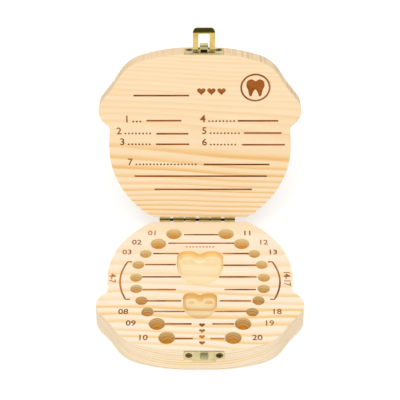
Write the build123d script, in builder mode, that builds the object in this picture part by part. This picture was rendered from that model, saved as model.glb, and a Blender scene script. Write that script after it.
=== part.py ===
"""A wooden box for a child's milk teeth, in millimetres.

Two pine boards share the outline of a head: a broad cap of hair over a face that narrows to the chin.
The base has a row of round pockets down each cheek and two heart-shaped hollows between them.
The lid turns on a butt hinge across the chin, and a snap catch at the crown holds it shut.
The origin is in the middle of the underside, +X is to the right and +Y is towards the hinge.
The box is drawn as it stands in use, with the lid open and the hoop of the catch standing out.
"""
from build123d import *
import math
import os

os.makedirs("parts", exist_ok=True)

# The two boards
head_width = 125.0
head_depth = 112.8
base_thickness = 17.0
lid_thickness = 13.0
outer_edge_radius = 2.5
lid_open_angle = 102.0
seam_gap = 0.3

# The corners of the outline's right half before rounding, from the chin to the crown:
# across as a share of half the width, towards the crown as a share of the depth, and how
# much of its shorter edge the corner's rounding takes, as a share
outline_shares = [
    (0.490, 0.000, 0.059),
    (0.949, 0.191, 0.910),
    (0.895, 0.567, 0.144),
    (1.077, 0.643, 0.813),
    (0.849, 0.807, 0.107),
    (0.710, 0.934, 0.540),
    (0.318, 1.000, 0.530),
]

# The tooth pockets: a straight wall, then a cone down to a small flat floor
molar_diameter = 9.5
molar_wall_depth = 3.25
molar_depth = 7.05
front_tooth_diameter = 7.1
front_tooth_wall_depth = 3.45
front_tooth_depth = 6.3
pocket_floor_share = 0.6

# One row of pockets for each line: across as a share of half the width, towards the crown as a
# share of the depth
molar_row_shares = [(0.266, 0.101), (0.421, 0.183), (0.408, 0.804), (0.312, 0.904)]
front_tooth_row_shares = [
    (0.544, 0.265), (0.613, 0.354), (0.629, 0.455), (0.621, 0.542), (0.565, 0.632), (0.502, 0.717),
]

# The two hearts, scooped out with a round-nosed cutter that is a share of each heart's width
upper_heart_width = 28.6
upper_heart_length = 30.3
upper_heart_start_share = 0.247
lower_heart_width = 20.6
lower_heart_length = 21.8
lower_heart_start_share = 0.576
heart_depth = 6.0
heart_floor_share = 0.15

# The corners of a heart's right half before rounding, from the notch to the tip: across as a
# share of its width, along as a share of its length, and how much of its shorter edge the
# corner's rounding takes, as a share
heart_shares = [
    (0.000, 0.090, 0.300),
    (0.165, -0.012, 0.400),
    (0.495, 0.000, 0.550),
    (0.505, 0.520, 0.350),
    (0.370, 0.850, 0.420),
    (0.000, 1.062, 0.530),
]

# The hinge, whose pin lies just behind the back walls at the height of the seam
leaf_length = 47.9
leaf_height = 10.0
leaf_thickness = 0.9
leaf_corner_radius = 1.2
leaf_shift = 0.7
hinge_x = -1.75
pin_offset = 1.95
knuckle_radius = 1.8
knuckle_gap = 1.4
knuckle_count = 6
pin_radius = 0.9
pin_clearance = 0.05
notch_clearance = 0.35
leaf_screw_spacing = 18.5
leaf_screw_drop = 6.6

# The countersunk wood screws
screw_head_radius = 2.15
screw_shank_radius = 1.0
screw_length = 6.0
screw_clearance = 0.03
driver_slot_length = 2.4
driver_slot_width = 0.5
driver_slot_depth = 0.7

# The plates of the catch, let into flat seats on the crown walls
catch_x = 2.4
plate_width = 23.4
plate_thickness = 0.8
plate_corner_radius = 0.8
plate_screw_inset = 2.75
lid_plate_height = 8.4
lid_plate_margin = 0.8
lid_plate_screw_rise = 1.0
base_plate_end_height = 6.4
base_plate_middle_height = 8.4
base_plate_middle_width = 13.8
base_plate_margin = 0.1
seat_depth = 0.5
seat_clearance = 0.2

# The bridge on the lid's plate, and the pin that its cheeks hold
bridge_width = 5.2
bridge_wall = 0.6
bridge_start = 1.9
bridge_end = 7.2
bridge_rise = 5.1
bridge_round = 0.8
bridge_opening = 1.9
latch_pin_radius = 0.6
latch_pin_height = 4.3
latch_pin_standoff = 2.4
foot_clearance = 0.02

# The leaf spring under the pin
spring_width = 3.4
spring_thickness = 0.3
spring_start = 2.9
spring_end = 5.9
spring_clearance = 0.1

# The hoop, whose window snaps over the hook
hoop_width = 13.4
hoop_thickness = 0.75
hoop_open_angle = 90.0
foot_radius = 1.3
window_width = 6.8
window_reach = 9.9
window_corner_radius = 0.6
bar_height = 0.2
lip_radius = 3.0
lip_angle = 70.0
lip_corner_radius = 2.7

# The hook, pressed out of the base's plate, and how near the hoop's bar comes to it
hook_width = 4.3
hook_start = 0.9
hook_rise = 2.3
snap_clearance = 0.2
hook_thickness = 0.6
hook_slot_clearance = 0.3

# How far a cut runs past the face that it starts from
overrun = 1.0

half_width = head_width / 2
back_y = head_depth / 2
plate_screw_spacing = plate_width - 2 * plate_screw_inset
hook_reach = window_reach - latch_pin_height - seam_gap - hook_thickness - snap_clearance
knuckle_pitch = (leaf_length + knuckle_gap) / knuckle_count
knuckle_length = knuckle_pitch - knuckle_gap
notch_reach = knuckle_radius + notch_clearance
hinge_left = hinge_x - (leaf_length + leaf_shift) / 2


def in_frame(frame, x=0, y=0, z=0, turn=(0, 0, 0)):
    """The plane at x, y, z in another plane's own directions, turned about its own axes."""
    return Plane(frame.location * Location((x, y, z), turn))


def side_of(frame, x=0):
    """The plane of a side profile: across it lies the frame's y, and up it lies the frame's z."""
    return Plane(in_frame(frame, x=x).location * Plane.YZ.location)


# The pin's own frame as it lies on the base, and as the open lid carries it round
pin_on_base = Plane(origin=(0, back_y + pin_offset, base_thickness + seam_gap / 2))
pin_on_lid = in_frame(pin_on_base, turn=(-lid_open_angle, 0, 0))

# The faces of the boards, each with its origin at the middle of the chin
base_underside = Plane(origin=(0, back_y, 0))
base_top = Plane(origin=(0, back_y, base_thickness))
lid_inside = in_frame(pin_on_lid, y=-pin_offset, z=seam_gap / 2)

# The back walls at the height of the pin: z points out of the wall, and y away from the lid
base_wall = in_frame(pin_on_base, y=-pin_offset, turn=(-90, 0, 0))
lid_wall = in_frame(pin_on_lid, y=-pin_offset, turn=(-90, 0, 0))

# The seats of the catch on the crown walls: z points out of the wall, and y from base to lid
base_seat = in_frame(base_top, x=catch_x, y=seat_depth - head_depth, turn=(90, 0, 0))
lid_seat = in_frame(lid_inside, x=catch_x, y=seat_depth - head_depth, turn=(90, 0, 0))
base_plate = in_frame(base_seat, y=-base_plate_margin - base_plate_end_height / 2)
lid_plate = in_frame(lid_seat, y=lid_plate_margin + lid_plate_height / 2)

# The hoop's own frame on its pin: y points away from its lip, and z out of its outer face
hoop = in_frame(lid_seat, y=latch_pin_height, z=latch_pin_standoff, turn=(-hoop_open_angle, 0, 0))


def mirrored(right_half):
    """A closed loop of corners from those of its right half, whose ends may lie on the middle."""
    left_half = [(-x, y, share) for x, y, share in reversed(right_half) if x > 0]
    return right_half + left_half


def corner_radii(points, rounding_shares):
    """The radius for each corner of a loop whose rounding takes a share of its shorter edge."""
    edges = [end - start for start, end in zip(points, points[1:] + points[:1])]
    radii = []
    for before, after, share in zip(edges[-1:] + edges[:-1], edges, rounding_shares):
        half_turn = math.radians(before.get_angle(after)) / 2
        radii.append(share * min(before.length, after.length) / math.tan(half_turn))
    return radii


def rounded_loop(corners):
    """A face from corners given as x, y and the share of its shorter edge that a rounding takes."""
    points = [Vector(x, y) for x, y, share in corners]
    radii = corner_radii(points, [share for x, y, share in corners])
    with BuildSketch() as face:
        with BuildLine():
            FilletPolyline(points, radius=radii, close=True)
        make_face()
    return face.sketch


def head_outline():
    """The outline of a board, with the middle of its chin at the origin and its crown at -Y."""
    return rounded_loop(mirrored([
        (across * half_width, -along * head_depth, rounding)
        for across, along, rounding in outline_shares
    ]))


def heart_outline(width, length, start_share):
    """A heart that starts at a share of the board's depth and points to the crown."""
    start = start_share * head_depth
    return rounded_loop(mirrored([
        (across * width, -start - along * length, rounding)
        for across, along, rounding in heart_shares
    ]))


def pocket_cutter(diameter, wall_depth, depth):
    """The space of a tooth pocket, open at the top."""
    radius = diameter / 2
    floor_radius = pocket_floor_share * radius
    with BuildPart() as cutter:
        with BuildSketch(Plane.XZ):
            Polygon(
                (0, overrun),
                (radius, overrun),
                (radius, -wall_depth),
                (floor_radius, -depth),
                (0, -depth),
                align=None,
            )
        revolve(axis=Axis.Z)
    return cutter.part


def heart_cutter(width, length, start_share):
    """The space of a scooped heart, whose floor is rounded into its wall."""
    outline = heart_outline(width, length, start_share)
    with BuildPart() as cutter:
        with BuildSketch(base_top.offset(-heart_depth)):
            add(outline)
        extrude(amount=heart_depth + overrun)
        fillet(cutter.faces().sort_by(Axis.Z)[0].edges(), radius=heart_floor_share * width)
    return cutter.part


def screw_shape(grow, top):
    """A cone head and a shank, grown all over by grow and carried up to top."""
    cone_height = screw_head_radius - screw_shank_radius
    shank = screw_shank_radius + grow
    end_z = -screw_length - grow
    with BuildPart() as shape:
        with BuildSketch(Plane.XZ):
            Polygon(
                (0, top),
                (screw_head_radius + grow, top),
                (screw_head_radius + grow, 0),
                (shank, -cone_height),
                (shank, end_z),
                (0, end_z),
                align=None,
            )
        revolve(axis=Axis.Z)
    return shape.part


def wood_screw():
    """A small countersunk screw with its head at z = 0 and a crossed recess for the driver."""
    blank = screw_shape(0, 0)
    with BuildPart() as screw:
        add(blank)
        with BuildSketch():
            Rectangle(driver_slot_length, driver_slot_width)
            Rectangle(driver_slot_width, driver_slot_length)
        extrude(amount=-driver_slot_depth, mode=Mode.SUBTRACT)
    return screw.part


# One screw, and what it takes out of a plate and of the wood behind it
screw = wood_screw()
screw_space = screw_shape(screw_clearance, overrun)


def leaf_screws(wall, side):
    """The places of a leaf's screws, on its outer face. side is -1 on the base and 1 on the lid."""
    face = in_frame(wall, x=hinge_x + side * leaf_shift / 2, y=-side * leaf_screw_drop, z=leaf_thickness)
    return [in_frame(face, x=step * leaf_screw_spacing) for step in (-1, 0, 1)]


def plate_screws(plate, rise=0):
    """The places of a plate's two screws, on its outer face."""
    face = plate.offset(plate_thickness)
    return [in_frame(face, x=step * plate_screw_spacing / 2, y=rise) for step in (-1, 1)]


def pocket_places(row_shares):
    """The places of a table's pockets on the base, on the right and on the left."""
    return [
        in_frame(base_top, x=side * across * half_width, y=-along * head_depth)
        for across, along in row_shares
        for side in (1, -1)
    ]


def seat_cutter(seat, plate_end, side):
    """The space of the flat under a plate, from the seam to just past the plate's far edge."""
    reach = plate_end + seat_clearance
    with BuildPart() as cutter:
        with BuildSketch(in_frame(seat, y=side * (reach - overrun) / 2)):
            Rectangle(plate_width + 2 * seat_clearance, reach + overrun)
        extrude(amount=seat_depth + overrun)
    return cutter.part


# The outline that both boards share, and what is cut into them
board_outline = head_outline()
molar_pocket = pocket_cutter(molar_diameter, molar_wall_depth, molar_depth)
front_tooth_pocket = pocket_cutter(front_tooth_diameter, front_tooth_wall_depth, front_tooth_depth)
upper_heart = heart_cutter(upper_heart_width, upper_heart_length, upper_heart_start_share)
lower_heart = heart_cutter(lower_heart_width, lower_heart_length, lower_heart_start_share)
base_flat = seat_cutter(base_seat, base_plate_margin + base_plate_middle_height, -1)
lid_flat = seat_cutter(lid_seat, lid_plate_margin + lid_plate_height, 1)
base_plate_screws = plate_screws(base_plate)
lid_plate_screws = plate_screws(lid_plate, lid_plate_screw_rise)

# The base board
with BuildPart() as base_block:
    with BuildSketch(base_underside):
        add(board_outline)
    extrude(amount=base_thickness)
    fillet(base_block.faces().sort_by(Axis.Z)[0].edges(), radius=outer_edge_radius)
    with Locations(*pocket_places(molar_row_shares)):
        add(molar_pocket, mode=Mode.SUBTRACT)
    with Locations(*pocket_places(front_tooth_row_shares)):
        add(front_tooth_pocket, mode=Mode.SUBTRACT)
    add(upper_heart, mode=Mode.SUBTRACT)
    add(lower_heart, mode=Mode.SUBTRACT)
    add(base_flat, mode=Mode.SUBTRACT)
    with Locations(*leaf_screws(base_wall, -1), *base_plate_screws):
        add(screw_space, mode=Mode.SUBTRACT)
base_block.part.label = "base_block"
export_step(base_block.part, "parts/base_block.step")

# The lid board
with BuildPart() as lid_board:
    with BuildSketch(lid_inside):
        add(board_outline)
    extrude(amount=lid_thickness)
    through_lid = Axis(lid_inside.origin, lid_inside.z_dir)
    fillet(lid_board.faces().sort_by(through_lid)[-1].edges(), radius=outer_edge_radius)
    add(lid_flat, mode=Mode.SUBTRACT)
    with Locations(*leaf_screws(lid_wall, 1), *lid_plate_screws):
        add(screw_space, mode=Mode.SUBTRACT)
lid_board.part.label = "lid_board"
export_step(lid_board.part, "parts/lid_board.step")


def leaf(pin_frame, wall, side):
    """A flat plate on a back wall, with every second knuckle rolled round the pin.

    side is -1 on the base, where the plate hangs below the pin, and 1 on the lid.
    """
    left = hinge_x + (side * leaf_shift - leaf_length) / 2
    plate_rise = leaf_height - notch_reach
    with BuildPart() as leaf:
        plate_middle = in_frame(wall, x=left + leaf_length / 2, y=-side * (notch_reach + plate_rise / 2))
        with BuildSketch(plate_middle) as plate:
            Rectangle(leaf_length, plate_rise)
            fillet(plate.vertices().group_by(Axis.Y)[0 if side > 0 else -1], radius=leaf_corner_radius)
        extrude(amount=leaf_thickness)
        for knuckle in range(0 if side < 0 else 1, knuckle_count, 2):
            with BuildSketch(side_of(pin_frame, left + knuckle * knuckle_pitch)):
                Circle(knuckle_radius)
                with Locations((leaf_thickness / 2 - pin_offset, side * notch_reach / 2)):
                    Rectangle(leaf_thickness, notch_reach)
                Circle(pin_radius + pin_clearance, mode=Mode.SUBTRACT)
            extrude(amount=knuckle_length)
        with Locations(*leaf_screws(wall, side)):
            add(screw_space, mode=Mode.SUBTRACT)
    return leaf.part


def plate_blank(plate, rectangles, screws):
    """A flat plate of rounded rectangles, given as width, height and shift, with countersunk holes."""
    with BuildPart() as blank:
        with BuildSketch(plate):
            for width, height, shift in rectangles:
                with Locations((0, shift)):
                    RectangleRounded(width, height, plate_corner_radius)
        extrude(amount=plate_thickness)
        with Locations(*screws):
            add(screw_space, mode=Mode.SUBTRACT)
    return blank.part


# The blanks of the metal plates
base_leaf_blank = leaf(pin_on_base, base_wall, -1)
lid_leaf_blank = leaf(pin_on_lid, lid_wall, 1)
lid_plate_blank = plate_blank(lid_plate, [(plate_width, lid_plate_height, 0)], lid_plate_screws)
middle_shift = (base_plate_end_height - base_plate_middle_height) / 2
base_plate_blank = plate_blank(
    base_plate,
    [
        (plate_width, base_plate_end_height, 0),
        (base_plate_middle_width, base_plate_middle_height, middle_shift),
    ],
    base_plate_screws,
)

# The hinge
with BuildPart() as hinge_base_leaf:
    add(base_leaf_blank)
hinge_base_leaf.part.label = "hinge_base_leaf"
export_step(hinge_base_leaf.part, "parts/hinge_base_leaf.step")

with BuildPart() as hinge_lid_leaf:
    add(lid_leaf_blank)
hinge_lid_leaf.part.label = "hinge_lid_leaf"
export_step(hinge_lid_leaf.part, "parts/hinge_lid_leaf.step")

with BuildPart() as hinge_pin:
    with BuildSketch(side_of(pin_on_base, hinge_left)):
        Circle(pin_radius)
    extrude(amount=leaf_length + leaf_shift)
hinge_pin.part.label = "hinge_pin"
export_step(hinge_pin.part, "parts/hinge_pin.step")

with BuildPart() as hinge_base_screws:
    with Locations(*leaf_screws(base_wall, -1)):
        add(screw)
hinge_base_screws.part.label = "hinge_base_screws"
export_step(hinge_base_screws.part, "parts/hinge_base_screws.step")

with BuildPart() as hinge_lid_screws:
    with Locations(*leaf_screws(lid_wall, 1)):
        add(screw)
hinge_lid_screws.part.label = "hinge_lid_screws"
export_step(hinge_lid_screws.part, "parts/hinge_lid_screws.step")


# The lid's plate, with the bridge whose two cheeks hold the hoop's pin
with BuildPart() as latch_plate:
    add(lid_plate_blank)
    with BuildSketch(side_of(lid_seat, -bridge_width / 2)) as bridge:
        with Locations(((bridge_start + bridge_end) / 2, bridge_rise / 2)):
            Rectangle(bridge_end - bridge_start, bridge_rise)
        fillet(bridge.vertices().group_by(Axis.Y)[-1], radius=bridge_round)
    extrude(amount=bridge_width)
    cavity_start = bridge_start + bridge_wall
    cavity_end = bridge_end - bridge_wall
    cavity_rise = bridge_rise - bridge_wall - plate_thickness
    mouth_end = (cavity_start + cavity_end) / 2
    with BuildSketch(side_of(lid_seat, bridge_wall - bridge_width / 2)) as cavity:
        with Locations(((cavity_start + cavity_end) / 2, plate_thickness + cavity_rise / 2)):
            Rectangle(cavity_end - cavity_start, cavity_rise)
        fillet(cavity.vertices().group_by(Axis.Y)[-1], radius=bridge_round - bridge_wall)
        with Locations(((bridge_start - overrun + mouth_end) / 2, plate_thickness + bridge_opening / 2)):
            Rectangle(mouth_end - bridge_start + overrun, bridge_opening)
    extrude(amount=bridge_width - 2 * bridge_wall, mode=Mode.SUBTRACT)
    with BuildSketch(side_of(lid_seat, -bridge_width / 2 - overrun)):
        with Locations((latch_pin_height, latch_pin_standoff)):
            Circle(latch_pin_radius + pin_clearance)
    extrude(amount=bridge_width + 2 * overrun, mode=Mode.SUBTRACT)
latch_plate.part.label = "latch_plate"
export_step(latch_plate.part, "parts/latch_plate.step")

# The leaf spring: a hairpin between the plate and the pin
with BuildPart() as latch_spring:
    upper_leaf = latch_pin_standoff - latch_pin_radius - spring_clearance - spring_thickness / 2
    lower_leaf = plate_thickness + spring_thickness / 2
    hairpin_radius = (upper_leaf - lower_leaf) / 2
    with BuildSketch(side_of(lid_seat, -spring_width / 2)):
        for height in (lower_leaf, upper_leaf):
            with Locations(((spring_start + spring_end) / 2, height)):
                Rectangle(spring_end - spring_start, spring_thickness)
        with Locations((spring_end, (lower_leaf + upper_leaf) / 2)):
            Circle(hairpin_radius + spring_thickness / 2)
            Circle(hairpin_radius - spring_thickness / 2, mode=Mode.SUBTRACT)
        with Locations(((spring_start + spring_end) / 2, (lower_leaf + upper_leaf) / 2)):
            Rectangle(
                spring_end - spring_start, 2 * hairpin_radius - spring_thickness, mode=Mode.SUBTRACT
            )
    extrude(amount=spring_width)
latch_spring.part.label = "latch_spring"
export_step(latch_spring.part, "parts/latch_spring.step")

# The hoop: a bent strip, cut to its outline and window
with BuildPart() as latch_flap:
    lip_start = window_reach + bar_height
    inner_face = -foot_radius
    outer_face = hoop_thickness - foot_radius
    lip_centre = (-lip_start, (inner_face + outer_face) / 2 + lip_radius)
    with BuildSketch(side_of(hoop, -hoop_width / 2)):
        with BuildLine():
            outside = CenterArc(lip_centre, lip_radius + hoop_thickness / 2, 270, -lip_angle)
            inside = CenterArc(lip_centre, lip_radius - hoop_thickness / 2, 270, -lip_angle)
            Line(outside @ 1, inside @ 1)
            Polyline(inside @ 0, (0, outer_face), (0, inner_face), outside @ 0)
        make_face()
        Circle(foot_radius)
        Circle(latch_pin_radius + foot_clearance, mode=Mode.SUBTRACT)
    extrude(amount=hoop_width)
    lip_end = lip_start + (lip_radius + hoop_thickness / 2) * math.sin(math.radians(lip_angle))
    with BuildSketch(hoop) as plan:
        with Locations((0, (foot_radius - lip_end) / 2)):
            Rectangle(hoop_width, foot_radius + lip_end)
        fillet(plan.vertices().group_by(Axis.Y)[0], radius=lip_corner_radius)
        with Locations((0, (foot_radius - window_reach) / 2)):
            Rectangle(window_width, foot_radius + window_reach, mode=Mode.SUBTRACT)
        window_corners = plan.vertices().filter_by_position(
            Axis.Y, -window_reach - foot_clearance, -window_reach + foot_clearance
        )
        fillet(window_corners, radius=window_corner_radius)
    extrude(amount=foot_radius + 2 * lip_radius, both=True, mode=Mode.INTERSECT)
latch_flap.part.label = "latch_flap"
export_step(latch_flap.part, "parts/latch_flap.step")

with BuildPart() as latch_pin:
    with BuildSketch(side_of(hoop, -hoop_width / 2)):
        Circle(latch_pin_radius)
    extrude(amount=hoop_width)
latch_pin.part.label = "latch_pin"
export_step(latch_pin.part, "parts/latch_pin.step")

with BuildPart() as latch_screws:
    with Locations(*lid_plate_screws):
        add(screw)
latch_screws.part.label = "latch_screws"
export_step(latch_screws.part, "parts/latch_screws.step")

# The base's plate, with the hook bent out of a slot in it
with BuildPart() as catch_plate:
    add(base_plate_blank)
    nose = (-hook_reach, plate_thickness + hook_rise)
    under_nose = (-hook_reach - hook_thickness, plate_thickness + hook_rise - hook_thickness)
    slot_start = hook_start + hook_thickness
    slot_end = hook_reach + 2 * hook_thickness
    with BuildSketch(in_frame(base_seat, y=-(slot_start + slot_end) / 2)):
        Rectangle(hook_width + 2 * hook_slot_clearance, slot_end - slot_start)
    extrude(amount=plate_thickness, mode=Mode.SUBTRACT)
    with BuildSketch(side_of(base_seat, -hook_width / 2)):
        with BuildLine():
            Polyline((-slot_start, 0), (-hook_start, 0), (-hook_start, plate_thickness))
            RadiusArc((-hook_start, plate_thickness), nose, -2 * hook_reach)
            Line(nose, under_nose)
            RadiusArc(under_nose, (-slot_start, 0), 2 * hook_reach)
        make_face()
    extrude(amount=hook_width)
catch_plate.part.label = "catch_plate"
export_step(catch_plate.part, "parts/catch_plate.step")

with BuildPart() as catch_screws:
    with Locations(*base_plate_screws):
        add(screw)
catch_screws.part.label = "catch_screws"
export_step(catch_screws.part, "parts/catch_screws.step")
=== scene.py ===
# %% [markdown]
# # A wooden box for milk teeth
#
# The box is two pine boards with the outline of a head. A butt hinge joins them at the chin and a snap catch
# holds them shut at the crown. The solids already exist, in metres, and this lesson gives them their looks:
# carved marks, pine that is cut through its growth rings, brass with broken edges, and soft studio light.

import math

import bmesh
import bpy
import numpy as np
from mathutils import Matrix, Vector


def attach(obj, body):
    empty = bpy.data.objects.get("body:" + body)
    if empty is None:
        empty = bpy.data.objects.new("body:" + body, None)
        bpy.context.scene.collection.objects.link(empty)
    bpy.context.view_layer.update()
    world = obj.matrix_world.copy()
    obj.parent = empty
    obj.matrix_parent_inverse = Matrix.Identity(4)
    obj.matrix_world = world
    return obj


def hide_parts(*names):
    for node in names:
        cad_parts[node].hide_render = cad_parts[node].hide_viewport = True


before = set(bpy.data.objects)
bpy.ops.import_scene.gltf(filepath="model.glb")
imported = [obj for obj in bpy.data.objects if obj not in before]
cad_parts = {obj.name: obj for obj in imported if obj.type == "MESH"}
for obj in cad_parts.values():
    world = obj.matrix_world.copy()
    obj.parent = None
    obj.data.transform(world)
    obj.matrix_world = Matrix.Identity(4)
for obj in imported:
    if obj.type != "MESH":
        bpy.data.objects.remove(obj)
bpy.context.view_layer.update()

# %% [markdown]
# ## Two faces to draw on
#
# Everything that is carved lies on the inner face of a board. It is easiest to place on paper, in millimetres,
# so each face gets a matrix that carries such a drawing into the room. Its origin is the middle of the chin,
# x runs to the right, and the third direction rises out of the wood. On the base, y runs towards the hinge, and
# on the lid, which stands open, y runs up to the crown. Both are the way up that a reader sees.

# %% The matrices of the two inner faces
MM = 0.001
BASE_THICK, LID_THICK = 17.0, 13.0
HALF_WIDTH, DEPTH = 62.5, 112.8
CHIN_WALL = DEPTH / 2
PIN_OFF_WALL, PIN_OFF_FACE = 1.95, 0.15
PIN = Vector((0, CHIN_WALL + PIN_OFF_WALL, BASE_THICK + PIN_OFF_FACE))
OPEN = math.radians(102)

base_face = Matrix.Translation(Vector((0, CHIN_WALL, BASE_THICK)) * MM) @ Matrix.Scale(MM, 4)
to_crown = Vector((0, -math.cos(OPEN), math.sin(OPEN)))
out_of_lid = Vector((0, -math.sin(OPEN), -math.cos(OPEN)))
chin_of_lid = PIN + PIN_OFF_WALL * to_crown - PIN_OFF_FACE * out_of_lid
lid_turn = Matrix((Vector((1, 0, 0)), to_crown, out_of_lid)).transposed()
lid_face = Matrix.Translation(chin_of_lid * MM) @ lid_turn.to_4x4() @ Matrix.Scale(MM, 4)
print("middle of the lid's chin, mm:", [round(c, 2) for c in chin_of_lid])

# %% [markdown]
# ## The camera
#
# The photograph was taken from in front and above with a long lens, so its parallel lines hardly meet. The
# camera stands 0.82 m from the middle of the box and looks down at 40.7 degrees.

# %% The camera
camera = bpy.data.objects.new("camera", bpy.data.cameras.new("camera"))
camera.data.sensor_width = 36
camera.data.lens = 118.6
camera.location = Vector((0, -578.15, 581.2)) * MM
camera.rotation_euler = (math.radians(90 - 40.69), 0, 0)
bpy.context.scene.collection.objects.link(camera)
bpy.context.scene.camera = camera

# %% [markdown]
# ## Shader maths in plain Python
#
# A node tree is hard to read as a list of links. `Wire` wraps one output, and arithmetic on it adds Math nodes,
# so that a pattern can be written as a formula. `Sheet` holds a tree, and its `node` method makes every other
# kind of node. `Finish` is the sheet of a material.

# %% A wire and a finish


class Wire:
    """One output of a node. Arithmetic between wires and numbers adds Math nodes."""

    def __init__(self, sheet, socket):
        self.sheet, self.socket = sheet, socket

    def maths(self, operation, *values):
        return self.sheet.node("ShaderNodeMath", {"operation": operation}, dict(enumerate(values)))

    def __add__(self, other):
        return self.maths("ADD", self, other)

    def __sub__(self, other):
        return self.maths("SUBTRACT", self, other)

    def __rsub__(self, other):
        return self.maths("SUBTRACT", other, self)

    def __mul__(self, other):
        return self.maths("MULTIPLY", self, other)

    def __truediv__(self, other):
        return self.maths("DIVIDE", self, other)

    __radd__ = __add__
    __rmul__ = __mul__

    def squared(self):
        return self * self

    def root(self):
        return self.maths("SQRT", self)

    def fraction(self):
        return self.maths("FRACT", self)

    def between(self, low, high):
        """0 below low, 1 above high, and a smooth rise between them."""
        return self.sheet.node(
            "ShaderNodeMapRange", {"interpolation_type": "SMOOTHSTEP"},
            {"Value": self, "From Min": low, "From Max": high}, "Result",
        )

    def part(self, axis):
        """One of the three parts of a vector."""
        return self.sheet.node("ShaderNodeSeparateXYZ", {}, {0: self}, axis)


class Sheet:
    """A node tree to draw on, and the shader that the drawing feeds."""

    def __init__(self, tree, shader, output):
        self.tree = tree
        self.tree.nodes.clear()
        self.shader = self.tree.nodes.new(shader)
        target = self.tree.nodes.new(output)
        self.tree.links.new(self.shader.outputs[0], target.inputs["Surface"])

    def feed(self, **values):
        """Set or link sockets of the shader, such as Base_Color, with _ for a space."""
        for name, value in values.items():
            self.join(self.shader.inputs[name.replace("_", " ")], value)

    def join(self, socket, value):
        if isinstance(value, Wire):
            self.tree.links.new(value.socket, socket)
        else:
            socket.default_value = value

    def node(self, kind, settings=None, inputs=None, output=0):
        """Add a node: its settings come first, then the values or wires of its inputs."""
        made = self.tree.nodes.new(kind)
        for name, value in (settings or {}).items():
            if name == "stops":
                ramp = made.color_ramp
                while len(ramp.elements) < len(value):
                    ramp.elements.new(0.5)
                for element, (position, shade) in zip(ramp.elements, value):
                    element.position = position
                    element.color = (shade, shade, shade, 1)
            else:
                setattr(made, name, value)
        for name, value in (inputs or {}).items():
            self.join(made.inputs[name], value)
        return Wire(self, made.outputs[output])

    def mix(self, factor, first, second):
        """The colour first where factor is 0 and second where it is 1."""
        return self.node(
            "ShaderNodeMix", {"data_type": "RGBA", "clamp_factor": True}, {0: factor, 6: first, 7: second}, 2
        )

    def noise(self, vector, scale, detail=2.0, roughness=0.5):
        """Clouds from about 0 to 1, with 0.5 in the middle."""
        inputs = {"Vector": vector, "Scale": scale, "Detail": detail, "Roughness": roughness}
        return self.node("ShaderNodeTexNoise", {}, inputs)

    def stretched(self, vector, x, y, z):
        """The vector with each of its three parts multiplied."""
        return self.node("ShaderNodeVectorMath", {"operation": "MULTIPLY"}, {0: vector, 1: (x, y, z)})

    def bump(self, height, distance):
        return self.node("ShaderNodeBump", {}, {"Height": height, "Distance": distance})


class Finish(Sheet):
    """A material: a sheet whose shader is the Principled one."""

    def __init__(self, name, **plain):
        self.material = bpy.data.materials.new(name)
        self.material.use_nodes = True
        super().__init__(self.material.node_tree, "ShaderNodeBsdfPrincipled", "ShaderNodeOutputMaterial")
        self.feed(**plain)


def paint(red, green, blue):
    """The linear colour of a screen colour whose parts run from 0 to 255."""
    share = np.array((red, green, blue)) / 255
    linear = np.where(share <= 0.04045, share / 12.92, ((share + 0.055) / 1.055) ** 2.4)
    return (*linear.tolist(), 1.0)


# %% [markdown]
# ## Pine that is cut, not wrapped
#
# Growth rings are sheets in the wood. Where a face, a bowl or a wall cuts a sheet, it shows as a line, so one
# rule in three dimensions draws all of them, and lines meet at every edge. A ring is pale early wood that
# deepens slowly to amber late wood and ends sharply. `rings` counts rings from the board's own coordinates:
# the fraction of that count says how far through a ring a point lies.
#
# A hollow is cut across the grain, so its lines are stronger, more so towards the crown. Its colour also
# changes
# with depth, as painted light and shade: a bowl darkens towards its floor, and a heart's floor is paler than
# its walls. The walls of the lid also carry the marks of the saw, as faint strokes through the thickness, and
# these are painted stronger towards the right, as shade on the right-hand walls.

# %% Pine


def board_point(finish, face):
    """The shaded point in a face's own drawing, in millimetres."""
    turn = face.to_3x3().normalized().transposed()
    return finish.node(
        "ShaderNodeMapping", {"vector_type": "POINT"},
        {
            "Vector": finish.node("ShaderNodeTexCoord", {}, {}, "Object"),
            "Location": -(turn @ face.translation) / MM,
            "Rotation": turn.to_euler(),
            "Scale": (1 / MM, 1 / MM, 1 / MM),
        },
    )


RING_WIDTH, PITH_BACK, PITH_DEPTH = 1.75, 12, 330


def base_rings(finish, point):
    """Rings about a pith far below the base: distance from it over the width of a ring.

    The rings are fainter near the chin, and the ground between them has the colour of pale wood.
    """
    sway = finish.noise(finish.stretched(point, 0.007, 0.018, 0.018), 1.0) - 0.5
    across = point.part("Y") - PITH_BACK + sway * 20 + point.part("X") * 0.012
    below = point.part("Z") + PITH_DEPTH
    contrast = 0.55 + 0.45 * (0 - point.part("Y")).between(48, 74)
    return (across.squared() + below.squared()).root() / RING_WIDTH, contrast, 0


def lid_rings(finish, point):
    """Rings that are wide below, flat in the middle and fine above.

    The count is a hyperbola and a parabola of the height on the lid, tilted by a straight line, plus a share of
    the depth. The rings fall to the right, more so in the middle. They fade towards the crown, where the ground
    between them is darker.
    """
    up = point.part("Y")
    sway = finish.noise(finish.stretched(point, 0.008, 0.016, 0.016), 1.0, detail=1.0) - 0.5
    fall = 0.035 + 0.06 * up.between(15, 50) - 0.05 * up.between(60, 80)
    along = up - 58 + point.part("X") * fall + sway * 9
    count = (along.squared() + 110).root() * 0.12 + along.squared() * 0.0022 + along * 0.04
    contrast = 1 - 0.25 * up.between(16, 34) - 0.5 * up.between(40, 64)
    return count + point.part("Z") * 0.45, contrast, 0.18 * up.between(5, 50)


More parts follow.
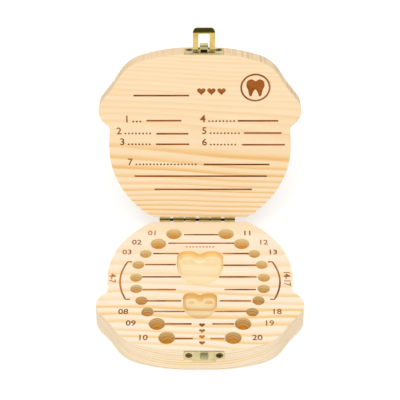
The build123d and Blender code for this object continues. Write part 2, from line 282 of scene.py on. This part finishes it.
def pine(name, face, rings, pale, amber, cut=None, sawn=None):
    """Pine on a board.

    cut gives the colours of a scooped hollow near its rim, deep down and in its lines, the depth of the second,
    and how strong the lines are. The change from the rim colour to the deep colour is painted light and shade.
    sawn is the thickness of a board whose walls show the marks of the saw, painted darker towards the right as
    shade.
    """
    finish = Finish(name, Specular_IOR_Level=0.25)
    point = board_point(finish, face)
    count, contrast, ground = rings(finish, point)
    late = finish.node(
        "ShaderNodeValToRGB",
        {"stops": [(0, 0.0), (0.35, 0.08), (0.6, 0.5), (0.82, 1.0), (0.94, 0.65), (1.0, 0.0)]},
        {"Fac": count.fraction()},
    )
    uneven = finish.node("ShaderNodeTexNoise", {"noise_dimensions": "1D"}, {"W": count * 0.43, "Scale": 1.0})
    fading = finish.noise(finish.stretched(point, 0.012, 0.03, 0.03), 1.0)
    fibres = finish.noise(finish.stretched(point, 0.03, 1.3, 1.3), 1.0, detail=4.0, roughness=0.65)
    streaks = finish.noise(finish.stretched(point, 0.009, 0.36, 0.36), 1.0, detail=2.0)
    grain = late * contrast * (0.5 + 0.75 * uneven.between(0.3, 0.7)) * (0.5 + 0.8 * fading)
    tone = grain + (fibres - 0.5) * 0.24 + (streaks - 0.5) * 0.34 + ground
    colour = finish.mix(tone, pale, amber)
    depth = 0 - point.part("Z")
    if sawn:
        marks = finish.noise(finish.stretched(point, 0.75, 0.75, 0.01), 1.0, detail=2.0).between(0.42, 0.68)
        wall = depth.between(0.4, 1.0) * (sawn - depth).between(0.4, 1.0)
        # The saw marks are painted stronger towards the right, as shade on the lid's right-hand walls.
        marks_and_right_shade = 0.16 + 0.3 * point.part("X").between(-20, 40)
        colour = finish.mix(wall * marks * marks_and_right_shade, colour, saw_marks_and_shade)
    if cut:
        rim, floor, line, reach, strength = cut
        resin = (0 - point.part("Y")).between(50, 76)
        # Painted light and shade: the hollow's colour runs from the rim colour to the deep colour with depth.
        hollow = finish.mix(depth.between(0.25 * reach, reach), rim, floor)
        hollow = finish.mix(resin * 0.16, hollow, line)
        lines = late * strength * (0.35 + 0.65 * resin) + (fibres - 0.5) * 0.3 + (streaks - 0.5) * 0.5
        colour = finish.mix(depth.between(-0.1, 0.4), colour, finish.mix(lines, hollow, line))
    finish.feed(
        Base_Color=colour,
        Roughness=0.56 + 0.12 * fibres,
        Normal=finish.bump(fibres * 0.6 + late * 0.4, 0.00004),
    )
    return finish.material


# The colour of the saw marks, which also paints the shade on the lid's right-hand walls.
saw_marks_and_shade = paint(196, 150, 112)
white_wood, honey = paint(254, 238, 214), paint(245, 200, 120)
base_pine = pine("base_pine", base_face, base_rings, white_wood, honey)
# The bowls are painted darker and more orange deep down, as the shade inside them.
bowl_pine_shaded_deep = pine(
    "bowl_pine_shaded_deep", base_face, base_rings, white_wood, honey,
    (paint(255, 240, 184), paint(220, 156, 34), paint(194, 132, 24), 7.4, 0.75),
)
# The hearts' floors are painted paler than their orange walls, as a highlight on the floors.
heart_pine_lit_floor = pine(
    "heart_pine_lit_floor", base_face, base_rings, white_wood, honey,
    (paint(250, 210, 132), paint(254, 238, 198), paint(214, 158, 52), 5.6, 0.75),
)
lid_pine = pine(
    "lid_pine", lid_face, lid_rings, paint(254, 232, 198), paint(240, 186, 100), sawn=LID_THICK
)

# %% [markdown]
# ## Burnt marks
#
# The marks are burnt into the wood with a fine hot point. The floor of each mark is charred unevenly: darker
# where the point slowed down, more orange where it ran.

# %% The char


def char(name, dark, light):
    finish = Finish(name, Roughness=0.8, Specular_IOR_Level=0.15)
    point = finish.node("ShaderNodeTexCoord", {}, {}, "Object")
    patches = finish.noise(point, 55.0, detail=3.0)
    finish.feed(Base_Color=finish.mix(patches.between(0.34, 0.66), dark, light))
    return finish.material


base_char = char("base_char", paint(134, 70, 20), paint(210, 134, 52))
lid_char = char("lid_char", paint(136, 70, 24), paint(176, 102, 40))

# %% [markdown]
# ## Cutters for the marks
#
# A rule or a bracket is a square profile carried along a path, and a dot, a heart or a tooth is an outline with
# a floor and a lid. Both are made as closed shells that reach a little above the face, and one Boolean takes
# them all out of a board. A Boolean keeps the cutter's material on the faces that it cuts, so the char comes
# with the groove.

# %% Shells from paths and outlines
MARK_DEPTH = 0.35
LIFT = 0.4


def band(path, width, closed=False):
    """A square profile along a path: each point is moved sideways by half the width, and up and down."""
    path = np.asarray(path, float)
    if closed:
        along = np.roll(path, -1, 0) - np.roll(path, 1, 0)
    else:
        along = np.gradient(path, axis=0)
    along /= np.linalg.norm(along, axis=1, keepdims=True)
    side = np.stack([-along[:, 1], along[:, 0]], 1) * width / 2
    level = np.full((len(path), 1), 1.0)
    corners = [
        np.hstack([path + side, level * LIFT]), np.hstack([path - side, level * LIFT]),
        np.hstack([path - side, level * -MARK_DEPTH]), np.hstack([path + side, level * -MARK_DEPTH]),
    ]
    vertices = np.stack(corners, 1).reshape(-1, 3)
    count = len(path) if closed else len(path) - 1
    row, corner = np.meshgrid(np.arange(count), np.arange(4), indexing="ij")
    after, turn = (row + 1) % len(path), (corner + 1) % 4
    faces = np.stack([row * 4 + corner, row * 4 + turn, after * 4 + turn, after * 4 + corner], -1)
    faces = faces.reshape(-1, 4).tolist()
    if not closed:
        faces += [[0, 3, 2, 1], [len(vertices) - 4 + corner for corner in range(4)]]
    return vertices, faces


def stamp(outline):
    """A closed outline with a floor below the face and a lid above it."""
    outline = np.asarray(outline, float)
    count = len(outline)
    levels = [np.hstack([outline, np.full((count, 1), level)]) for level in (-MARK_DEPTH, LIFT)]
    here = np.arange(count)
    after = (here + 1) % count
    faces = np.stack([here, after, after + count, here + count], 1).tolist()
    return np.vstack(levels), faces + [here[::-1].tolist(), (here + count).tolist()]


def circle(x, y, radius, count=16):
    angle = np.linspace(0, 2 * np.pi, count, endpoint=False)
    return np.stack([x + radius * np.cos(angle), y + radius * np.sin(angle)], 1)


def heart(x, y, size, count=36):
    """A heart whose x is the cube of a sine and whose y is a sum of four cosines."""
    t = np.linspace(0, 2 * np.pi, count, endpoint=False)
    across = 16 * np.sin(t) ** 3
    up = 13 * np.cos(t) - 5 * np.cos(2 * t) - 2 * np.cos(3 * t) - np.cos(4 * t)
    return np.stack([x - across * size / 32, y + (up + 2.5) * size / 32], 1)


def tooth(x, y, size, steps=6):
    """A milk tooth from the front: a smooth closed curve through the corners of a crown and two roots."""
    right = np.array([
        (0.00, 0.36), (0.20, 0.46), (0.41, 0.36), (0.46, 0.10), (0.36, -0.17), (0.31, -0.42), (0.20, -0.48),
        (0.12, -0.27), (0.00, -0.10),
    ])
    corners = np.vstack([right, right[-2:0:-1] * (-1, 1)])
    before, after = np.roll(corners, 1, 0), np.roll(corners, -1, 0)
    slope = (after - before) / 2
    end, end_slope = after, np.roll(slope, -1, 0)
    t = (np.arange(steps) / steps)[:, None, None]
    curve = (
        (2 * t**3 - 3 * t**2 + 1) * corners + (t**3 - 2 * t**2 + t) * slope
        + (3 * t**2 - 2 * t**3) * end + (t**3 - t**2) * end_slope
    )
    return curve.transpose(1, 0, 2).reshape(-1, 2)[::-1] * size + (x, y)


def numeral(text, x, y, height, turn=0.0):
    """Plain digits of a given height, a little bolder than the typeface, centred on a point and turned."""
    curve = bpy.data.curves.new("digits", "FONT")
    curve.body, curve.size, curve.align_x = text, height / 0.7, "CENTER"
    curve.extrude, curve.offset = (MARK_DEPTH + LIFT) / 2, 0.1
    curve.resolution_u = 3
    holder = bpy.data.objects.new("digits", curve)
    mesh = bpy.data.meshes.new_from_object(holder)
    work = bmesh.new()
    work.from_mesh(mesh)
    bmesh.ops.remove_doubles(work, verts=work.verts, dist=0.002)
    bmesh.ops.recalc_face_normals(work, faces=work.faces)
    place = Matrix.Translation((x, y, (LIFT - MARK_DEPTH) / 2)) @ Matrix.Rotation(turn, 4, "Z")
    place = place @ Matrix.Translation((0, -height / 2, 0))
    bmesh.ops.transform(work, matrix=place, verts=work.verts)
    vertices = np.array([v.co for v in work.verts])
    faces = [[v.index for v in f.verts] for f in work.faces]
    work.free()
    bpy.data.objects.remove(holder)
    bpy.data.curves.remove(curve)
    bpy.data.meshes.remove(mesh)
    return vertices, faces


# %% [markdown]
# ## The round-nosed bowls
#
# The solid of the base has each pocket as a plain wall and a cone. The real drill has a round nose, so a finer
# cutter runs down every pocket again: a profile of a broken rim, a straight wall and a quarter circle, turned
# about the pocket's axis. It is a hair wider than the solid's pocket, so no old facet is left.

# %% The bowl cutter


def bowl(x, y, radius, depth, around=40):
    """A turned profile: the height and the radius of each ring of points, times the cosine and the sine."""
    radius += 0.06
    rim = np.linspace(0, np.pi / 2, 5)
    nose = np.linspace(0, np.pi / 2, 10)[:-1]
    radii = np.concatenate([[radius + 0.4], radius + 0.4 - 0.4 * np.sin(rim), radius * np.cos(nose)])
    heights = np.concatenate([[LIFT], -0.4 + 0.4 * np.cos(rim), radius - depth - radius * np.sin(nose)])
    angle = np.linspace(0, 2 * np.pi, around, endpoint=False)
    vertices = np.stack([
        x + np.outer(radii, np.cos(angle)),
        y + np.outer(radii, np.sin(angle)),
        np.outer(heights, np.ones(around)),
    ], -1).reshape(-1, 3)
    ring, step = np.meshgrid(np.arange(len(radii) - 1), np.arange(around), indexing="ij")
    after = (step + 1) % around
    here, below = ring * around, (ring + 1) * around
    faces = np.stack([here + step, below + step, below + after, here + after], -1).reshape(-1, 4).tolist()
    lowest = len(vertices)
    vertices = np.vstack([vertices, [x, y, -depth]])
    last = lowest - around
    faces += [[last + k, lowest, last + (k + 1) % around] for k in range(around)]
    return vertices, faces + [list(range(around))]


# %% [markdown]
# ## What is marked on the boards
#
# Ten rows of pockets run from the chin to the crown. A rule joins each pocket to the middle, and a bracket
# holds the four small front teeth of each side together. The marks are plain numbers, small hearts and dots.

# %% The marks of the base
molars = [(0.266, 0.101), (0.421, 0.183), (0.408, 0.804), (0.312, 0.904)]
front_teeth = [(0.544, 0.265), (0.613, 0.354), (0.629, 0.455), (0.621, 0.542), (0.565, 0.632), (0.502, 0.717)]

bowls = [
    bowl(side * across * HALF_WIDTH, -along * DEPTH, radius, depth)
    for rows, radius, depth in ((molars, 4.75, 8.0), (front_teeth, 3.55, 7.0))
    for across, along in rows
    for side in (1, -1)
]

base_rules = [
    (-10.2, 12.2, 12.3), (-20.1, 22.7, 20.3),
    (-29.4, -13.2, 29.9), (14.2, 30.5, 29.9), (-34.1, -15.0, 40.0), (14.5, 34.7, 40.5),
    (-35.6, -11.6, 50.9), (10.9, 34.8, 50.9), (-34.9, -14.7, 62.0), (14.9, 34.0, 62.0),
    (-31.8, -11.4, 71.7), (11.9, 30.8, 71.7), (-27.6, -9.1, 80.6), (8.4, 28.2, 80.6),
    (-20.6, -5.0, 90.9), (7.3, 20.1, 90.9), (-14.7, -4.2, 102.8), (6.1, 14.3, 102.8),
]
base_marks = [band([(left, -v), (right, -v)], 1.3) for left, right, v in base_rules]

t = np.linspace(-1, 1, 25)
for side in (-1, 1):
    bow = np.stack([side * (49.0 - 4.0 * t**2), -(53.9 + 16.4 * t)], 1)
    base_marks.append(band(np.vstack([(side * 42.4, -37.5), bow, (side * 42.4, -70.3)]), 1.1))
    base_marks.append(numeral("4-7" if side < 0 else "14-17", side * 53.6, -52.2, 3.9, turn=-math.pi / 2))

numbered_rows = [
    (1, 30.2, 10.6), (2, 40.0, 19.3), (3, 45.7, 28.4), (8, 45.9, 80.6), (9, 41.0, 90.1), (10, 33.6, 101.8),
]
for row, x, v in numbered_rows:
    base_marks.append(numeral(f"{row:02d}", -x, -v, 4.3))
    base_marks.append(numeral(f"{row + 10}", x, -v, 4.3))
base_marks += [stamp(circle(x, -23.7, 0.6)) for x in np.linspace(-8.4, 8.4, 9)]
base_marks += [stamp(heart(1.2, -v, 3.6)) for v in (92.0, 96.8, 101.6, 106.4)]
print("marks on the base:", len(base_marks))

# %% The marks of the lid
lid_rules = [
    (-40.8, -6.7, 85.5), (-33.2, -11.5, 68.5), (-27.1, -7.3, 59.5), (-27.5, -6.7, 52.2), (23.4, 48.5, 68.4),
    (27.4, 50.8, 60.0), (26.2, 53.1, 51.9), (2.4, 43.8, 38.0), (-41.5, 42.4, 29.7), (-28.9, 33.1, 20.2),
]
lid_marks = [band([(left, v), (right, v)], 1.15) for left, right, v in lid_rules]
lid_marks += [stamp(heart(x, 88.0, 5.2)) for x in (0.8, 7.0, 13.2)]
lid_marks += [band(circle(33.9, 90.8, 8.7, 72), 1.1, closed=True), stamp(tooth(33.9, 90.8, 12.0))]
entries = [
    (1, -46.8, -34.5, 67.6), (2, -51.9, -28.5, 59.4), (3, -50.0, -28.9, 51.9),
    (4, 0.3, 22.1, 67.9), (5, 1.2, 25.3, 59.6), (6, 1.3, 24.6, 51.7), (7, -45.5, -1.2, 37.8),
]
for number, left, right, v in entries:
    lid_marks.append(numeral(str(number), left + 1.5, v + 2.1, 4.6))
    lid_marks += [stamp(circle(x, v + 0.3, 0.62, 12)) for x in np.arange(left + 5.4, right - 0.5, 2.2)]
print("marks on the lid:", len(lid_marks))

# %% [markdown]
# ## Carving the boards
#
# The mesh of a solid comes as loose triangles. A copy is merged into a closed shell, the marks are taken out of
# it, and its faces are shaded smooth up to 30 degrees. The bowls go first, because a rule may run into a bowl,
# and the shells of one cutter may not overlap. Weighted normals then keep the flat faces flat, because
# big faces count for more than the small ones at their edges.

# %% Merge, carve and shade


def merged_copy(node, name):
    """A closed copy of a solid's mesh."""
    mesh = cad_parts[node].data.copy()
    mesh.name = name
    work = bmesh.new()
    work.from_mesh(mesh)
    bmesh.ops.remove_doubles(work, verts=work.verts, dist=1e-6)
    bmesh.ops.dissolve_degenerate(work, edges=work.edges, dist=1e-7)
    work.to_mesh(mesh)
    work.free()
    mesh.materials.clear()
    piece = bpy.data.objects.new(name, mesh)
    bpy.context.scene.collection.objects.link(piece)
    return piece


def joined(name, shells, face, materials):
    """One mesh from many shells of (vertices, faces, slot), carried into the room by a face's matrix."""
    vertices = np.vstack([shell[0] for shell in shells])
    start, faces, slots = 0, [], []
    for points, polygons, slot in shells:
        faces += [[start + corner for corner in polygon] for polygon in polygons]
        slots += [slot] * len(polygons)
        start += len(points)
    placed = np.hstack([vertices, np.ones((len(vertices), 1))]) @ np.array(face).T
    mesh = bpy.data.meshes.new(name)
    mesh.from_pydata(placed[:, :3].tolist(), [], faces)
    mesh.polygons.foreach_set("material_index", slots)
    for material in materials:
        mesh.materials.append(material)
    work = bmesh.new()
    work.from_mesh(mesh)
    bmesh.ops.recalc_face_normals(work, faces=work.faces)
    work.to_mesh(mesh)
    work.free()
    piece = bpy.data.objects.new(name, mesh)
    bpy.context.scene.collection.objects.link(piece)
    return piece


def apply_modifiers(piece):
    """Put what the modifiers make into the mesh itself."""
    view = bpy.context.evaluated_depsgraph_get()
    shown = piece.evaluated_get(view)
    mesh = bpy.data.meshes.new_from_object(shown, preserve_all_data_layers=True, depsgraph=view)
    piece.modifiers.clear()
    piece.data = mesh


def shade(piece, angle=30):
    """Smooth shading that stops at sharp edges, with normals that follow the large faces."""
    work = bmesh.new()
    work.from_mesh(piece.data)
    limit = math.radians(angle)
    for edge in work.edges:
        edge.smooth = len(edge.link_faces) == 2 and edge.calc_face_angle(math.pi) < limit
    for face in work.faces:
        face.smooth = True
    work.to_mesh(piece.data)
    work.free()
    weighted = piece.modifiers.new("weighted normals", "WEIGHTED_NORMAL")
    weighted.keep_sharp = True
    weighted.weight = 100
    apply_modifiers(piece)


def carve(piece, cutter):
    """Take the cutter out of the piece, and keep the cutter's materials on the cut faces."""
    cut = piece.modifiers.new("carve", "BOOLEAN")
    cut.operation, cut.solver, cut.object, cut.material_mode = "DIFFERENCE", "EXACT", cutter, "TRANSFER"
    bpy.context.view_layer.update()
    apply_modifiers(piece)
    bpy.data.objects.remove(cutter)


# %% The base board
base_board = merged_copy("base_block", "base_board")
base_board.data.materials.append(base_pine)
carve(base_board, joined("bowl_cutter", [(*shell, 0) for shell in bowls], base_face, [bowl_pine_shaded_deep]))
carve(base_board, joined("base_cutter", [(*shell, 0) for shell in base_marks], base_face, [base_char]))
shade(base_board)

base_board.data.materials.append(heart_pine_lit_floor)
middles = np.empty(len(base_board.data.polygons) * 3)
base_board.data.polygons.foreach_get("center", middles)
across, along, height = (middles.reshape(-1, 3) / MM - (0, CHIN_WALL, BASE_THICK)).T
slots = np.empty(len(middles) // 3, int)
base_board.data.polygons.foreach_get("material_index", slots)
scooped = (abs(across) < 16) & (along < -20) & (along > -92) & (height < -0.01) & (height > -8) & (slots == 0)
slots[scooped] = len(base_board.data.materials) - 1
base_board.data.polygons.foreach_set("material_index", slots)
print("faces in the hearts:", int(scooped.sum()))

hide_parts("base_block")
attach(base_board, "base")
print("base board:", len(base_board.data.polygons), "faces", [m.name for m in base_board.data.materials])

# %% The lid board
lid_piece = merged_copy("lid_board", "lid_panel")
lid_piece.data.materials.append(lid_pine)
carve(lid_piece, joined("lid_cutter", [(*shell, 0) for shell in lid_marks], lid_face, [lid_char]))
shade(lid_piece)
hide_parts("lid_board")
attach(lid_piece, "lid")
print("lid board:", len(lid_piece.data.polygons), "faces", [m.name for m in lid_piece.data.materials])

# %% [markdown]
# ## Plated brass and drawn steel
#
# The hinge and the catch are thin steel with a bright brass plating. The plating is a clean mirror that rolling
# has brushed a little along its length, and handling has dulled in soft patches.

# %% The metals


def metal(name, bright, dull, smooth, rough):
    """A brushed and handled metal between two colours and two roughnesses."""
    finish = Finish(name, Metallic=1.0)
    point = finish.node("ShaderNodeTexCoord", {}, {}, "Object")
    handled = finish.noise(point, 220.0, detail=3.0)
    brushed = finish.noise(finish.stretched(point, 300, 9000, 9000), 1.0, detail=2.0)
    finish.feed(
        Base_Color=finish.mix(handled.between(0.35, 0.75), bright, dull),
        Roughness=smooth + (rough - smooth) * handled + 0.08 * brushed,
        Normal=finish.bump(brushed, 0.000003),
    )
    return finish.material


brass = metal("plated_brass", paint(244, 226, 154), paint(222, 198, 120), 0.16, 0.34)
# The hoop's brass is more golden and the plates' brass paler than the hinge's, on the same plating: painted
# reflections of the wood below the hoop and of the white floor in front of the plates.
hoop_brass = metal("golden_brass", paint(240, 210, 126), paint(222, 190, 100), 0.08, 0.22)
plate_brass = metal("satin_brass", paint(252, 240, 190), paint(240, 226, 172), 0.5, 0.66)
# The screws are painted dark brass, and this darkness also stands in for the shade in their recesses.
screw_brass = metal("dark_screw_brass", paint(134, 112, 66), paint(84, 66, 36), 0.3, 0.55)
# The dark steel is partly the pin's own colour and partly stands in for the shade in the gaps between the
# hinge's knuckles.
steel = metal("dark_steel", paint(112, 98, 84), paint(70, 58, 48), 0.25, 0.5)

# %% [markdown]
# ## Broken edges
#
# No stamped part has a perfectly sharp edge, and the thin highlight along it is what makes metal look real. A
# copy of each metal solid gets a very small bevel on its sharp edges and stands in for the solid.

# %% Metal pieces with broken edges
metal_pieces = [
    ("base_leaf", "hinge_base_leaf", "base", brass, 0.07),
    ("lid_leaf", "hinge_lid_leaf", "lid", brass, 0.07),
    ("hinge_rod", "hinge_pin", "base", steel, 0.08),
    ("base_leaf_screws", "hinge_base_screws", "base", screw_brass, 0.05),
    ("lid_leaf_screws", "hinge_lid_screws", "lid", screw_brass, 0.05),
    ("lid_plate", "latch_plate", "lid", plate_brass, 0.07),
    ("hoop", "latch_flap", "hoop", hoop_brass, 0.09),
    ("hoop_rod", "latch_pin", "hoop", steel, 0.06),
    ("hoop_spring", "latch_spring", "lid", steel, 0.04),
    ("lid_plate_screws", "latch_screws", "lid", screw_brass, 0.05),
    ("base_plate", "catch_plate", "base", plate_brass, 0.07),
    ("base_plate_screws", "catch_screws", "base", screw_brass, 0.05),
]
for name, node, body, material, width in metal_pieces:
    piece = merged_copy(node, name)
    piece.data.materials.append(material)
    edges = piece.modifiers.new("broken edges", "BEVEL")
    edges.width, edges.segments = width * MM, 2
    edges.limit_method, edges.angle_limit = "ANGLE", math.radians(35)
    apply_modifiers(piece)
    shade(piece, 32)
    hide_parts(node)
    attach(piece, body)
    print(name, len(piece.data.polygons), "faces")

# %% [markdown]
# ## Floor and light
#
# The box lies in a bright white tent. The world gives most of the light from all round, a broad lamp above the
# camera shapes the walls, and the pale floor throws light back up. The floor is white to the camera where
# the light reaches it, and keeps the soft shadow of the box.
#
# Polished metal shows what stands around it. The tent is open at the front and above, where the dark room looks
# in, so mirror rays that go there come back dark. That is why the curled lip of the hoop is nearly black.

# %% The floor


def white_floor():
    finish = Finish("white_floor", Base_Color=paint(236, 236, 236), Roughness=0.9)
    finish.feed(Specular_IOR_Level=0.0, Emission_Strength=1.0)
    seen = finish.node("ShaderNodeLightPath", {}, {}, "Is Camera Ray")
    finish.feed(Emission_Color=finish.mix(seen, (0, 0, 0, 1), (0.3, 0.3, 0.3, 1)))
    return finish.material


floor_mesh = bpy.data.meshes.new("floor")
FAR = 3
floor_mesh.from_pydata([(-FAR, -FAR, 0), (FAR, -FAR, 0), (FAR, FAR, 0), (-FAR, FAR, 0)], [], [(0, 1, 2, 3)])
floor_mesh.materials.append(white_floor())
floor = bpy.data.objects.new("floor", floor_mesh)
bpy.context.scene.collection.objects.link(floor)

# %% The world and the lamp
world = bpy.data.worlds.new("tent")
bpy.context.scene.world = world
world.use_nodes = True
tent = Sheet(world.node_tree, "ShaderNodeBackground", "ShaderNodeOutputWorld")
camera_ray, mirror_ray, clear_ray = (
    tent.node("ShaderNodeLightPath", {}, {}, f"Is {kind} Ray") for kind in ("Camera", "Glossy", "Transmission")
)
ray = tent.node("ShaderNodeTexCoord", {}, {}, "Generated")
dark_room = ray.part("Z").between(0.0, 0.3) * (1 - ray.part("Y").between(0.35, 0.75))
TENT, ROOM = 0.70, 0.07
tent.feed(
    Color=tent.mix(mirror_ray * dark_room, (1, 1, 1, 1), (0.7, 0.95, 0.8, 1)),
    Strength=TENT + (camera_ray + clear_ray) * (1 - TENT) + mirror_ray * (1 - TENT - (1 - ROOM) * dark_room),
)


def lamp(name, place, power, size):
    """A square soft lamp that looks at the box."""
    light = bpy.data.lights.new(name, "AREA")
    light.energy, light.size = power, size
    holder = bpy.data.objects.new(name, light)
    holder.location = place
    holder.rotation_euler = (Vector((0, 0, 0.05)) - Vector(place)).to_track_quat("-Z", "Y").to_euler()
    holder.visible_glossy = False
    bpy.context.scene.collection.objects.link(holder)


lamp("key", (-0.05, -0.75, 1.25), 8.5, 0.9)

bpy.context.scene.view_settings.view_transform = "Standard"
